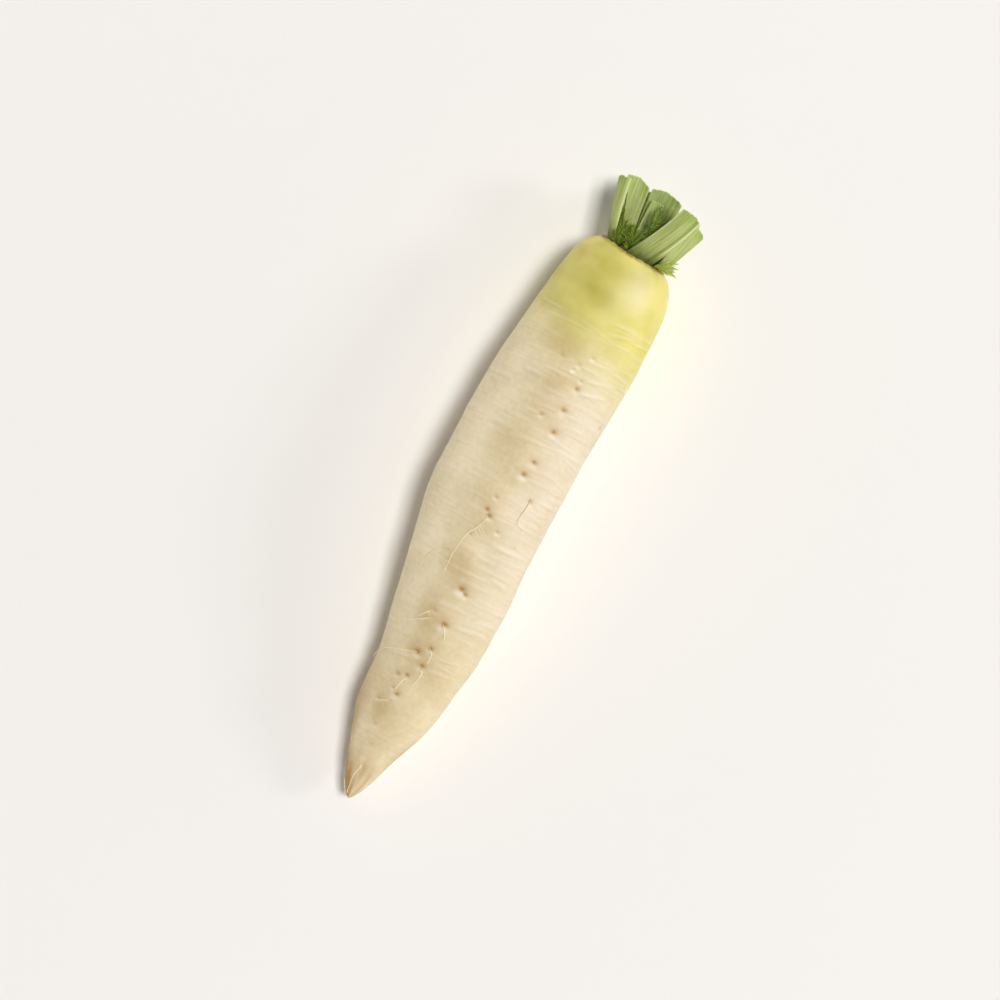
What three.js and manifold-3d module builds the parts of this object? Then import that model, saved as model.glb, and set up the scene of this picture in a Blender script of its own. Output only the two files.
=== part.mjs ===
// A daikon radish as it is sold: a long white taproot with a green shoulder, lying on its side,
// with its leaf stalks cut short. Millimetres, +Z up, the root's length along X with the crown
// towards +X. The origin is at the middle of the underside of the whole vegetable's box.
import * as THREE from "three";
import { mergeVertices } from "three/addons/utils/BufferGeometryUtils.js";
import Module from "manifold-3d";

const wasm = await Module();
wasm.setup();

// ---- driving dimensions ----
const ROOT_LENGTH = 359.5; // tip to crown
const ROOT_RADIUS = 38.1; // at the thickest place
const CROWN_RADIUS = 21; // flat top that the leaves grow from
const CROWN_LEAN = 0.17; // the crown's face leans back by this much for each millimetre of height
const CROWN_SLANT = 0.07; // and it runs on by this much for each millimetre towards +Y
const SHOULDER_START = 0.82; // share of the length where sections begin to tilt to the crown's face
const FLAT_DEPTH = 0.5; // the underside is pressed flat to this depth where it rests
const GAP = 0.3; // between touching pieces
const DEGREE = Math.PI / 180;

// ---- materials ----
const material = (color, roughness) =>
  new THREE.MeshStandardMaterial({ color, roughness, metalness: 0 });
const rootSkin = material(0xdccfa6, 0.45);
const stalkGreen = material(0x93a857, 0.5);
const leafGreen = material(0x55701f, 0.6);
const rootletFibre = material(0xd9bf84, 0.7);

// ---- the root's outline ----
// Each row: share of the length from the tip, share of the greatest radius, sideways bow of the axis,
// and clearance of the underside above the table.
const OUTLINE = [
  [0.0, 0.0, 0.0, 19.0],
  [0.006, 0.06, 0.1, 16.9],
  [0.032, 0.19, 0.2, 12.8],
  [0.085, 0.368, 0.8, 7.6],
  [0.155, 0.59, -0.1, 2.4],
  [0.25, 0.715, -1.5, 0.2],
  [0.36, 0.845, 1.0, 0.0],
  [0.5, 0.96, 6.8, 0.0],
  [0.64, 0.995, 8.0, 0.0],
  [0.77, 0.997, 6.0, 0.1],
  [0.87, 0.948, 3.3, 1.9],
  [0.935, 0.893, 2.3, 5.4],
  [0.972, 0.8, 2.1, 9.4],
  [0.99, 0.685, 1.9, 14.2],
  [1.0, CROWN_RADIUS / ROOT_RADIUS, 1.8, 21.0],
];

// A smooth curve through one column of the outline, as a function of the share of the length.
function alongRoot(column) {
  const slope = OUTLINE.map((_, i) => {
    const before = OUTLINE[Math.max(i - 1, 0)];
    const after = OUTLINE[Math.min(i + 1, OUTLINE.length - 1)];
    return (after[column] - before[column]) / (after[0] - before[0]);
  });
  return (share) => {
    const next = OUTLINE.findIndex((row) => row[0] >= share);
    const i = Math.max(next, 1) - 1;
    const [from, to] = [OUTLINE[i], OUTLINE[i + 1]];
    const span = to[0] - from[0];
    const u = (share - from[0]) / span;
    return (
      from[column] * (1 + 2 * u) * (1 - u) ** 2 +
      to[column] * u * u * (3 - 2 * u) +
      slope[i] * span * u * (1 - u) ** 2 -
      slope[i + 1] * span * u * u * (1 - u)
    );
  };
}
const radiusShare = alongRoot(1);
const bow = alongRoot(2);
const clearance = alongRoot(3);

const radiusAt = (station) => ROOT_RADIUS * radiusShare(station / ROOT_LENGTH);
const axisY = (station) => bow(station / ROOT_LENGTH);
const axisZ = (station) => radiusAt(station) + clearance(station / ROOT_LENGTH);
const CROWN_Y = axisY(ROOT_LENGTH);
const CROWN_Z = axisZ(ROOT_LENGTH);

// How far the crown's tilt has set in at a station: none before the shoulder, all of it at the crown.
const tiltAt = (station) => THREE.MathUtils.smoothstep(
  station,
  SHOULDER_START * ROOT_LENGTH,
  ROOT_LENGTH,
);

// A point off the root's axis. Clock is the angle round the axis: 0 is up and 90 is towards +Y.
function besideAxis(station, clock, distance) {
  const up = distance * Math.cos(clock * DEGREE);
  const across = distance * Math.sin(clock * DEGREE);
  return new THREE.Vector3(
    station + tiltAt(station) * (CROWN_SLANT * across - CROWN_LEAN * up),
    axisY(station) + across,
    axisZ(station) + up,
  );
}
const skinPoint = (station, clock, lift) => besideAxis(station, clock, radiusAt(station) + lift);

// ---- shared geometry helpers ----
// Only the positions, with shared vertices merged and smooth normals.
function joined(geometry) {
  geometry.deleteAttribute("normal");
  geometry.deleteAttribute("uv");
  const merged = mergeVertices(geometry, 1e-4);
  merged.computeVertexNormals();
  return merged;
}

function mesh(name, geometry, finish) {
  const made = new THREE.Mesh(joined(geometry), finish);
  made.name = name;
  return made;
}

// A flat section drawn out in steps and then put in place: place(x, y, share) gives each point, with
// x and y in the section's own unit and share going from 0 at the first section to 1 at the last.
function sweep(section, steps, place) {
  const geometry = new THREE.ExtrudeGeometry(section, { depth: 1, steps, bevelEnabled: false });
  const position = geometry.getAttribute("position");
  const point = new THREE.Vector3();
  for (let i = 0; i < position.count; i++) {
    point.fromBufferAttribute(position, i);
    point.copy(place(point.x, point.y, point.z));
    position.setXYZ(i, point.x, point.y, point.z);
  }
  return geometry;
}

function sectionFrom(outlineOf, sides) {
  const points = [];
  for (let i = 0; i < sides; i++) points.push(outlineOf((i / sides) * 2 * Math.PI));
  return new THREE.Shape(points);
}

// A section swept along a curve, with its y axis held towards a facing direction.
function sweepAlong(curve, section, steps, facing, width, thickness) {
  return sweep(section, steps, (x, y, share) => {
    const tangent = curve.getTangent(share);
    const side = new THREE.Vector3().crossVectors(facing(share), tangent).normalize();
    const out = new THREE.Vector3().crossVectors(tangent, side);
    return curve
      .getPoint(share)
      .addScaledVector(side, x * width(share))
      .addScaledVector(out, y * thickness(share));
  });
}

// ---- root ----
function rootGeometry() {
  const STATIONS = 40;
  const SIDES = 36;
  const profile = [new THREE.Vector2(0, 0)];
  for (let i = 1; i <= STATIONS; i++) {
    // Stations crowd towards the tip and the shoulder, where the outline turns quickly.
    const share = 0.5 - 0.5 * Math.cos((Math.PI * i) / STATIONS);
    profile.push(new THREE.Vector2(radiusAt(share * ROOT_LENGTH), share * ROOT_LENGTH));
  }
  profile.push(new THREE.Vector2(0, ROOT_LENGTH));
  const geometry = new THREE.LatheGeometry(profile, SIDES);
  const position = geometry.getAttribute("position");
  for (let i = 0; i < position.count; i++) {
    const [up, station, across] = [position.getX(i), position.getY(i), position.getZ(i)];
    const point = besideAxis(station, Math.atan2(across, up) / DEGREE, Math.hypot(across, up));
    position.setXYZ(i, point.x, point.y, point.z);
  }
  return flattenUnderside(joined(geometry));
}

function solidFrom(geometry) {
  return new wasm.Manifold(
    new wasm.Mesh({
      numProp: 3,
      vertProperties: geometry.getAttribute("position").array,
      triVerts: new Uint32Array(geometry.index.array),
    }),
  );
}

function geometryFrom(solid) {
  const { vertProperties, triVerts } = solid.getMesh();
  return new THREE.BufferGeometry()
    .setAttribute("position", new THREE.BufferAttribute(vertProperties, 3))
    .setIndex(new THREE.BufferAttribute(triVerts, 1));
}

// The firm flesh rests on a narrow flat, which a table-shaped block takes off the underside.
function flattenUnderside(geometry) {
  const DEPTH = 20;
  const table = new THREE.BoxGeometry(2 * ROOT_LENGTH, 4 * ROOT_RADIUS, DEPTH);
  table.translate(ROOT_LENGTH / 2, 0, FLAT_DEPTH - DEPTH / 2);
  return geometryFrom(solidFrom(geometry).subtract(solidFrom(joined(table))));
}

// ---- leaf stalks ----
// A stalk's section, one unit wide and one thick: rounded outside, with a shallow channel inside.
const STALK_SIDES = 18;
const CHANNEL = 0.42;
const stalkSection = sectionFrom((turn) => {
  const [across, out] = [Math.cos(turn), Math.sin(turn)];
  const channel = out < 0 ? CHANNEL * out * out : 0;
  return new THREE.Vector2(across / 2, out / 2 + channel);
}, STALK_SIDES);

// base and tip are places seen from the crown's middle, [towards +Y, up], and width is how wide the
// stalk is, both at the crown and at the cut. facing is the clock angle of the stalk's rounded side
// there, cut is how far past the crown the knife went, slant is how much further it went for each
// millimetre towards +Y, and round is how far the cut draws back at the stalk's two margins.
const STALKS = [
  { base: [-3.8, 12.5], tip: [-20.3, 19], facing: [-12, -28], width: [17.5, 14.5],
    cut: 34, slant: 0.3, round: 1.6 },
  { base: [-17.2, 0.3], tip: [-27.5, 1.5], facing: [-75, -42], width: [11.5, 11],
    cut: 30.5, slant: 0.6, round: 0.8 },
  { base: [-12.5, -12], tip: [-15.5, -21], facing: [-137, -150], width: [11.5, 11],
    cut: 36, slant: 0.3, round: 0.5 },
  { base: [0, -17.3], tip: [5.5, -26], facing: [180, 178], width: [12, 13],
    cut: 40, slant: 0.1, round: 0.8 },
  { base: [9.5, -10], tip: [17, -6], facing: [140, 172], width: [11.5, 15],
    cut: 42, slant: 0.1, round: 2.6 },
  { base: [14.8, 2], tip: [25, 1], facing: [88, 60], width: [10.5, 11],
    cut: 38, slant: -0.15, round: 0.6 },
  { base: [-3, -8], tip: [-2.2, -14.5], facing: [180, 181], width: [12.5, 20],
    cut: 43, slant: 0.05, round: 3 },
  { base: [1, -3], tip: [1.4, -7], facing: [178, 178], width: [7, 7.5],
    cut: 34.5, slant: 0, round: 0.6 },
];
const SPREAD_EARLY = 0.35; // how much faster a stalk leans out at its foot than it would at a steady rate
const STALK_THICKNESS = [2.2, 0.32]; // a least thickness, and a share of the width on top of it

// How far past the crown's middle its tilted face lies at a place on it.
const crownFace = (toY, up) => CROWN_SLANT * toY - CROWN_LEAN * up;

function stalkGeometry({ base, tip, facing, width, cut, slant, round }) {
  const STEPS = 7;
  const mix = THREE.MathUtils.lerp;
  return sweep(stalkSection, STEPS, (x, y, share) => {
    const spread = share * (1 + SPREAD_EARLY * (1 - share));
    const turn = mix(...facing, share) * DEGREE;
    const wide = mix(...width, Math.sqrt(share));
    const across = x * wide;
    const out = y * (STALK_THICKNESS[0] + STALK_THICKNESS[1] * wide);
    const toY = mix(base[0], tip[0], spread) + across * Math.cos(turn) + out * Math.sin(turn);
    const up = mix(base[1], tip[1], spread) - across * Math.sin(turn) + out * Math.cos(turn);
    const start = crownFace(toY, up) + GAP;
    const end = cut + slant * (toY - tip[0]) - round * (2 * x) ** 2;
    return new THREE.Vector3(ROOT_LENGTH + mix(start, end, share), CROWN_Y + toY, CROWN_Z + up);
  });
}

// ---- young leaves ----
// Each leaf is a pointed blade along a curve from its base to its tip, both [past the crown,
// towards +Y, up] from the crown's middle, with facing the clock angle of its back.
const BLADE_SIDES = 10;
const bladeSection = sectionFrom(
  (turn) => new THREE.Vector2(Math.cos(turn) / 2, Math.sin(turn) / 2),
  BLADE_SIDES,
);
const HEART_LEAVES = [
  { base: [0.8, 9.5, 3], tip: [16, 12.5, 2], rise: 2.5, facing: 10, width: 7.5 },
  { base: [0.8, 3.6, 5], tip: [16.5, 5.6, 6], rise: 2.5, facing: 5, width: 7 },
  { base: [0.8, -4.6, 2], tip: [29.5, -4, -2], rise: 3, facing: -10, width: 8 },
  { base: [0.8, 11, 10], tip: [9, 15, 9.5], rise: 1.5, facing: 40, width: 5 },
  { base: [0.8, 9.8, -3], tip: [35, 21, 1.5], rise: 1, facing: 30, width: 5 },
];
const SIDE_SHOOTS = [
  { base: [2.8, -15.4, 9.4], tip: [6, -27.4, 9], rise: 1.6, facing: -20, width: 5 },
  { base: [2.2, -14, 13.6], tip: [2.6, -23.6, 14.4], rise: 1.5, facing: -20, width: 4 },
];
const FOOT_SHARE = 0.2; // how far into its swell a blade already is where it leaves the crown
const POINT_SHARE = 0.12; // width left at a blade's point, as a share of its greatest
const BLADE_THICKNESS = 1.2;

function bladeGeometry({ base, tip, rise, facing, width }) {
  const STEPS = 6;
  const crown = new THREE.Vector3(ROOT_LENGTH, CROWN_Y, CROWN_Z);
  const outward = new THREE.Vector3(0, Math.sin(facing * DEGREE), Math.cos(facing * DEGREE));
  const start = new THREE.Vector3(...base).add(crown);
  start.x += GAP + crownFace(base[1], base[2]);
  const end = new THREE.Vector3(...tip).add(crown);
  const middle = start.clone().lerp(end, 0.5).addScaledVector(outward, rise);
  const curve = new THREE.QuadraticBezierCurve3(start, middle, end);
  const swell = (share) =>
    POINT_SHARE + (1 - POINT_SHARE) * Math.sin(Math.PI * (FOOT_SHARE + (1 - FOOT_SHARE) * share));
  return sweepAlong(
    curve,
    bladeSection,
    STEPS,
    () => outward,
    (share) => width * swell(share),
    (share) => BLADE_THICKNESS * (0.5 + 0.5 * swell(share)),
  );
}

// ---- rootlets ----
// Thin side roots that come out of the two rows of pits and lie along the skin. Each route is a list of
// [station from the tip, clock angle, height off the skin].
const ROOTLET_RADIUS = 0.4;
const ROOTLET_TAPER = 0.5; // share of its radius that a rootlet loses by its end
const ROOTLET_LIFT = ROOTLET_RADIUS + GAP;
const ROOTLETS = [
  [[24.5, 18, 0], [21.5, 8, 0.4], [13.5, 22, 0.6], [8, 26, 0.3], [2.5, 40, 0.3]],
  [[10, 88, 0.3], [5.5, 92, 0.5], [1, 80, 0.6]],
  [[82, 10, 0], [77.5, 13, 0.8], [72.5, 15, 0.2]],
  [[97.6, 12, 0], [95.7, 22, 1.2], [93, 40, 1.5], [89.6, 60, 1], [85, 80, 1.2], [81.5, 92, 2]],
  [[90.6, -2, 0], [86.3, -5, 0.8], [78.3, -2, 0.2]],
  [[102.3, 0, 0], [99.8, -5, 0.7], [94.3, -5, 0.2]],
  [[118.7, -3, 0], [115.3, -7, 0.9], [110.8, -11, 0.3]],
  [[123.7, 13, 0], [120.3, 19, 0.6], [116.7, 25, 0.3]],
  [[120, 9, 0], [115.3, 23, 0.2], [110.3, 41, 0.2]],
  [
    [186.5, -3, 0],
    [181, -1, 0.3],
    [176, 3, 0.1],
    [172, 7, 0.1],
    [165, 11, 0.1],
    [157, 13.5, 0.1],
    [146, 16, 0.4],
  ],
  [[205.5, -33, 0], [197.5, -32, 0.3], [190.5, -31, 0.2], [188, -40, 0.4]],
  [[158.8, 19, 0], [157.2, 28, 0.3], [152.5, 38, 0.2], [146, 46, 0.2], [136, 54, 0.4]],
  [[65, 205, 0], [60, 199, 0.6], [53, 201, 0.2]],
  [[87, 220, 0], [82, 226, 0.8], [74, 229, 0.2]],
  [[107, 150, 0], [102, 141, 0.9], [98, 130, 1.1], [91, 121, 0.4]],
  [[322, 158, 0], [316, 150, 0.6], [312, 141, 0.3]],
  [[65.3, 12, 0], [63.3, 22, 0.4], [61, 34, 0.2]],
];

function rootletGeometry(route) {
  const SIDES = 5;
  const round = sectionFrom((turn) => new THREE.Vector2(Math.cos(turn), Math.sin(turn)), SIDES);
  const curve = new THREE.CatmullRomCurve3(
    route.map(([station, clock, height]) => skinPoint(station, clock, ROOTLET_LIFT + height)),
  );
  const clockAt = (share) => {
    const place = share * (route.length - 1);
    const i = Math.min(Math.floor(place), route.length - 2);
    return THREE.MathUtils.lerp(route[i][1], route[i + 1][1], place - i) * DEGREE;
  };
  const taper = (share) => ROOTLET_RADIUS * (1 - ROOTLET_TAPER * share);
  const outward = (share) => new THREE.Vector3(0, Math.sin(clockAt(share)), Math.cos(clockAt(share)));
  return sweepAlong(curve, round, 3 * (route.length - 1), outward, taper, taper);
}

// ---- assembly ----
const daikon = new THREE.Group();
daikon.add(mesh("root", rootGeometry(), rootSkin));
STALKS.forEach((stalk, i) => {
  daikon.add(mesh(`leaf_stalk_${i + 1}`, stalkGeometry(stalk), stalkGreen));
});
HEART_LEAVES.forEach((leaf, i) => {
  daikon.add(mesh(`heart_leaf_${i + 1}`, bladeGeometry(leaf), leafGreen));
});
SIDE_SHOOTS.forEach((shoot, i) => {
  daikon.add(mesh(`side_shoot_${i + 1}`, bladeGeometry(shoot), leafGreen));
});
ROOTLETS.forEach((route, i) => {
  daikon.add(mesh(`rootlet_${i + 1}`, rootletGeometry(route), rootletFibre));
});

// The origin goes to the middle of the underside of the box round everything.
const box = new THREE.Box3().setFromObject(daikon);
const middle = box.getCenter(new THREE.Vector3());
daikon.position.set(-middle.x, -middle.y, -box.min.z);

export default daikon;
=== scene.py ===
"""A daikon radish with its leaf stalks cut short, lying on its side on a pale table."""

import math

import bpy
import numpy as np
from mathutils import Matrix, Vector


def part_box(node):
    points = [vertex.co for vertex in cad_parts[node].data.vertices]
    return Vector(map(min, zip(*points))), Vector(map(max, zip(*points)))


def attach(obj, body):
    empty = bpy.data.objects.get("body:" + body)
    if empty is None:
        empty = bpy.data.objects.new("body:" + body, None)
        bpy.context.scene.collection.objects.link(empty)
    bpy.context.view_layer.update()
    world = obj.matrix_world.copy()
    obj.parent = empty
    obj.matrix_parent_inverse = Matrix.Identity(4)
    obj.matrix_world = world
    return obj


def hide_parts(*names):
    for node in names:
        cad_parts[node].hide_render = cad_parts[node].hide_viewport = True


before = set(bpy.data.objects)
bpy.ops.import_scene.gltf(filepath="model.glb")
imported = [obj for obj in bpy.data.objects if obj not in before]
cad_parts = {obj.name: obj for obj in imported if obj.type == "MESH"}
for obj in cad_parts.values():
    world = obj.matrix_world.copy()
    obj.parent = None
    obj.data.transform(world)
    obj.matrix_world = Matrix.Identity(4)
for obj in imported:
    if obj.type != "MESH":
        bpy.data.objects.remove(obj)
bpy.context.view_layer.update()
ROOT_LOW, ROOT_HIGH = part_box("root")

bl_info = {
    "name": "Daikon Radish",
    "version": (1, 0, 0),
    "blender": (4, 5, 0),
    "location": "3D View > Sidebar > Daikon",
    "description": "A daikon radish with cut leaf stalks, its rootlets and young leaves, and a plain stage",
    "category": "Add Mesh",
}

MM = 0.001
DEGREE = math.pi / 180
TURN = 2 * math.pi

# ---- the root's outline, as in the frame, in millimetres ----
ROOT_LENGTH = 359.5
ROOT_RADIUS = 38.1
CROWN_RADIUS = 21.0
CROWN_LEAN = 0.17
CROWN_SLANT = 0.07
SHOULDER_START = 0.82
FLAT_DEPTH = 0.5
# Each row: share of the length from the tip, share of the greatest radius, sideways bow of the axis,
# and clearance of the underside above the table.
OUTLINE = np.array(
    [
        (0.0, 0.0, 0.0, 19.0),
        (0.006, 0.06, 0.1, 16.9),
        (0.032, 0.19, 0.2, 12.8),
        (0.085, 0.368, 0.8, 7.6),
        (0.155, 0.59, -0.1, 2.4),
        (0.25, 0.715, -1.5, 0.2),
        (0.36, 0.845, 1.0, 0.0),
        (0.5, 0.96, 6.8, 0.0),
        (0.64, 0.995, 8.0, 0.0),
        (0.77, 0.997, 6.0, 0.1),
        (0.87, 0.948, 3.3, 1.9),
        (0.935, 0.893, 2.3, 5.4),
        (0.972, 0.8, 2.1, 9.4),
        (0.99, 0.685, 1.9, 14.2),
        (1.0, CROWN_RADIUS / ROOT_RADIUS, 1.8, 21.0),
    ]
)


def linear(code):
    """An sRGB hex colour as linear red, green and blue with full alpha."""
    srgb = np.array([int(code[i : i + 2], 16) / 255 for i in (1, 3, 5)])
    value = np.where(srgb <= 0.04045, srgb / 12.92, ((srgb + 0.055) / 1.055) ** 2.4)
    return (*value.tolist(), 1.0)


# ---- sizes and colours that a user would change ----
def length(name, description, millimetres):
    """A length property, with its default given in millimetres."""
    return bpy.props.FloatProperty(
        name=name,
        description=description,
        default=millimetres * MM,
        min=0.0,
        unit="LENGTH",
        precision=5,
    )


def colour(name, description, code):
    """A colour property, with its default given as sRGB hex."""
    return bpy.props.FloatVectorProperty(
        name=name, description=description, default=linear(code), size=4, min=0, max=1, subtype="COLOR"
    )


def amount(name, description, value):
    """A property that is a plain number from 0 up."""
    return bpy.props.FloatProperty(name=name, description=description, default=value, min=0.0)


class DaikonRootSettings(bpy.types.PropertyGroup):
    """Sizes and colours of the root's skin."""

    pit_depth: length("Pit depth", "Depth of the deepest pits that rootlets grow from", 0.8)
    crease_depth: length("Crease depth", "Depth of the deepest creases round the root", 0.42)
    lump_height: length("Lump height", "How far the skin swells and dips over a few centimetres", 0.32)
    # Pale is painted light and shade: the skin on the side towards the lights gets this colour of its own,
    # darker and greyer than cream, set to how the light falls there.
    pale: colour("Pale", "The skin's colour on the side that lay uppermost", "#E0D2B6")
    cream: colour("Cream", "The skin's colour on its other side", "#F0E0BC")
    # Sand also serves as painted shade on the side towards +Y, away from the lights, and in part along the
    # top.
    sand: colour("Sand", "The skin's warmer patches and lines", "#CDB585")
    shoulder: colour("Shoulder", "Yellow green where the shoulder grew above the soil", "#DDD074")
    # Olive is also laid as painted shade on the shoulder's side towards +Y, away from the lights.
    olive: colour("Olive", "The greenest part of the shoulder", "#B8AB46")
    stain: colour("Stain", "Brown of the pits and the tip", "#AC7C36")
    cork: colour("Cork", "Dry ring round the crown", "#97762C")


class DaikonLeafSettings(bpy.types.PropertyGroup):
    """Sizes and colours of the stalks, young leaves and rootlets."""

    rib_height: length("Rib height", "Height of the ribs along a stalk's back", 0.22)
    blade_thickness: length("Blade thickness", "Thickness of a young leaf", 0.5)
    rootlet_radius: length("Rootlet radius", "Radius of a rootlet where it leaves its pit", 0.4)
    stalk: colour("Stalk", "Pale waxy green of a leaf stalk", "#A8B162")
    # Stalk rib also paints a highlight on the crest beside each stalk's fold.
    stalk_rib_and_highlight: colour("Stalk rib", "Paler ribs and margins of a stalk", "#CDD394")
    # Stalk base is also the painted shade: a deeper green at a stalk's foot, in its channel and fold, and
    # over the darker stalks.
    stalk_dark_and_shade: colour("Stalk base", "Deeper green at the foot of a stalk", "#4C5C14")
    fresh: colour("Fresh stalk", "Brighter green of a stalk towards its cut", "#98AC4A")
    cut: colour("Cut face", "Fresh flesh where the knife went through", "#C3CE8C")
    leaf: colour("Young leaf", "Dark green of the young leaves in the heart", "#2F4C08")
    leaf_tip: colour("Young leaf point", "Lighter green of a young leaf's points", "#BED040")
    shoot: colour("Side shoot", "Bright yellow green of the side shoots", "#86981F")
    shoot_tip: colour("Side shoot point", "Pale yellow of a side shoot's points", "#DDE08F")
    scale: colour("Dry scale", "Brown of the dry leaf bases round the crown", "#8F6A22")
    scale_tip: colour("Dry scale point", "Tan of a dry scale's torn edge", "#D8BC68")
    fibre: colour("Fibre", "Dry pale fibre of the rootlets", "#F0E2BC")


class DaikonStageSettings(bpy.types.PropertyGroup):
    """The table, the light and the camera."""

    floor: colour("Table", "The pale table", "#F6F2EC")
    key: amount("Key light", "Power of the high key light in watts", 1040.0)
    side: amount("Side light", "Power of the wide side light in watts", 230.0)
    fill: amount("Fill", "Strength of the even light from above", 0.12)
    horizon: amount("Wall light", "Strength of the light from the low pale walls all round", 3.0)
    lens: amount("Lens", "Focal length in millimetres", 100.0)
    field: length("Field", "Width that the camera sees at the root's axis", 582.3)


# ---- arithmetic shared by the shapes ----
def smoothstep(value, low, high):
    """0 below low, 1 above high and 3t^2 - 2t^3 between them."""
    t = np.clip((value - low) / (high - low), 0, 1)
    return t * t * (3 - 2 * t)


def mix(a, b, share):
    """a at share 0, b at share 1, in a straight line between."""
    return a + (b - a) * share


def hump(distance, width):
    """A bell of height 1: e to the minus square of distance over width."""
    return np.exp(-((distance / width) ** 2))


def wrapped(angle):
    """The same angle between minus and plus half a turn."""
    return (angle + math.pi) % TURN - math.pi


def along_root(column):
    """A smooth curve through one column of the outline, as a function of the share of the length: a cubic
    between each two rows, with the slope at a row taken from the rows beside it."""
    knots, values = OUTLINE[:, 0], OUTLINE[:, column]
    last = len(knots) - 1
    before = np.maximum(np.arange(last + 1) - 1, 0)
    after = np.minimum(np.arange(last + 1) + 1, last)
    slope = (values[after] - values[before]) / (knots[after] - knots[before])

    def at(share):
        i = np.clip(np.searchsorted(knots, share), 1, last) - 1
        span = knots[i + 1] - knots[i]
        u = (share - knots[i]) / span
        return (
            values[i] * (1 + 2 * u) * (1 - u) ** 2
            + values[i + 1] * u * u * (3 - 2 * u)
            + slope[i] * span * u * (1 - u) ** 2
            - slope[i + 1] * span * u * u * (1 - u)
        )

    return at


radius_share = along_root(1)
bow = along_root(2)
clearance = along_root(3)


def radius_at(station):
    """The root's radius at a distance from its tip."""
    return ROOT_RADIUS * radius_share(station / ROOT_LENGTH)


# The frame's origin is in the middle of the box, and the outline's is on the line from tip to crown.
_shares = np.linspace(0, 1, 2001)
_reach = ROOT_RADIUS * radius_share(_shares)
_sides = (bow(_shares) + _reach, bow(_shares) - _reach)
TIP_X = ROOT_LOW.x / MM
CHORD_Y = (ROOT_LOW.y + ROOT_HIGH.y) / 2 / MM - (_sides[0].max() + _sides[1].min()) / 2
CROWN_X = TIP_X + ROOT_LENGTH
CROWN_Y = CHORD_Y + OUTLINE[-1, 2]
CROWN_Z = CROWN_RADIUS + OUTLINE[-1, 3] - FLAT_DEPTH


def beside_axis(station, clock, distance):
    """A point off the root's axis, in metres. Clock is the angle round the axis, with 0 up and a quarter
    turn towards +Y. Towards the crown each section tilts back, because the crown's face isn't square."""
    share = station / ROOT_LENGTH
    tilt = smoothstep(share, SHOULDER_START, 1.0)
    up = distance * np.cos(clock)
    across = distance * np.sin(clock)
    x = TIP_X + station + tilt * (CROWN_SLANT * across - CROWN_LEAN * up)
    y = CHORD_Y + bow(share) + across
    z = radius_at(station) + clearance(share) + up - FLAT_DEPTH
    return np.stack([x, y, np.maximum(z, 0)], axis=-1) * MM


def clock_of(station, sideways):
    """The clock angle of the place on the root's upper side that is sideways of the tip-to-crown line."""
    station = np.asarray(station, float)
    across = np.asarray(sideways, float) - bow(station / ROOT_LENGTH)
    return np.arcsin(np.clip(across / radius_at(station), -1, 1))


def waves(station, clock, seed, count, shortest, longest):
    """Smooth random swells: a sum of sine waves that close round the root, with wavelengths along it
    between shortest and longest, scaled to about 1."""
    random = np.random.default_rng(seed)
    total = np.zeros(np.broadcast(station, clock).shape)
    for _ in range(count):
        pitch = random.uniform(shortest, longest)
        lobes = random.integers(-5, 6)
        total += np.sin(TURN * station / pitch + lobes * clock + random.uniform(0, TURN))
    return total / math.sqrt(count)


# ---- marks on the skin ----
# Pits on the upper side: distance from the tip, sideways of the tip-to-crown line, half breadth, share of
# the greatest depth, how brown, and how pale its lip is. The first four stand alone near the tip.
PITS = [
    (36.5, 3.0, 2.0, 0.15, 0.30, 0.2),
    (49.0, 6.5, 2.0, 0.20, 0.35, 0.3),
    (48.0, 16.0, 1.8, 0.20, 0.30, 0.2),
    (63.3, 11.5, 1.3, 0.35, 0.45, 0.3),
    (70.3, 3.5, 1.8, 0.70, 0.90, 0.5),
    (72.8, 7.0, 1.2, 0.40, 0.50, 0.4),
    (81.2, 8.5, 1.6, 0.60, 0.70, 0.4),
    (82.9, 3.3, 1.7, 0.70, 0.80, 0.5),
    (91.7, -2.0, 2.0, 0.80, 0.95, 0.4),
    (98.1, 4.5, 2.2, 0.90, 1.00, 0.5),
    (103.1, -1.8, 1.8, 0.75, 0.85, 0.4),
    (119.2, -2.0, 2.4, 0.95, 1.00, 0.6),
    (124.2, 7.0, 1.4, 0.45, 0.50, 0.3),
    (142.0, -1.5, 2.5, 1.00, 1.00, 1.0),
    (140.0, -4.6, 1.7, 0.75, 0.90, 0.8),
    (172.5, 9.0, 1.2, 0.35, 0.50, 0.3),
    (176.4, -17.0, 1.0, 0.25, 0.30, 0.3),
    (180.4, -4.0, 1.3, 0.40, 0.50, 0.7),
    (186.7, 4.5, 1.9, 0.75, 1.00, 0.6),
    (189.4, 7.2, 1.7, 0.65, 0.95, 0.4),
    (193.0, -25.0, 1.1, 0.25, 0.25, 0.2),
    (198.0, 6.0, 1.3, 0.45, 0.50, 0.4),
    (204.4, -13.0, 1.7, 0.60, 0.70, 0.5),
    (216.5, -2.0, 2.0, 0.80, 0.90, 0.9),
    (225.3, -4.0, 2.0, 0.80, 0.90, 0.5),
    (245.8, -6.0, 2.2, 0.85, 0.90, 0.6),
    (251.7, 5.5, 1.4, 0.45, 0.50, 0.5),
    (259.5, -5.0, 2.1, 0.75, 0.80, 0.6),
    (261.0, -28.5, 1.5, 0.40, 0.50, 0.2),
    (273.6, -6.0, 1.9, 0.70, 0.80, 0.6),
    (279.0, -6.0, 1.3, 0.35, 0.40, 0.5),
    (282.9, 1.0, 1.4, 0.30, 0.25, 0.9),
    (286.8, -0.5, 1.7, 0.45, 0.40, 0.5),
    (286.8, 10.0, 1.3, 0.20, 0.30, 0.2),
    (293.6, -6.0, 1.3, 0.30, 0.30, 0.6),
]
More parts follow.
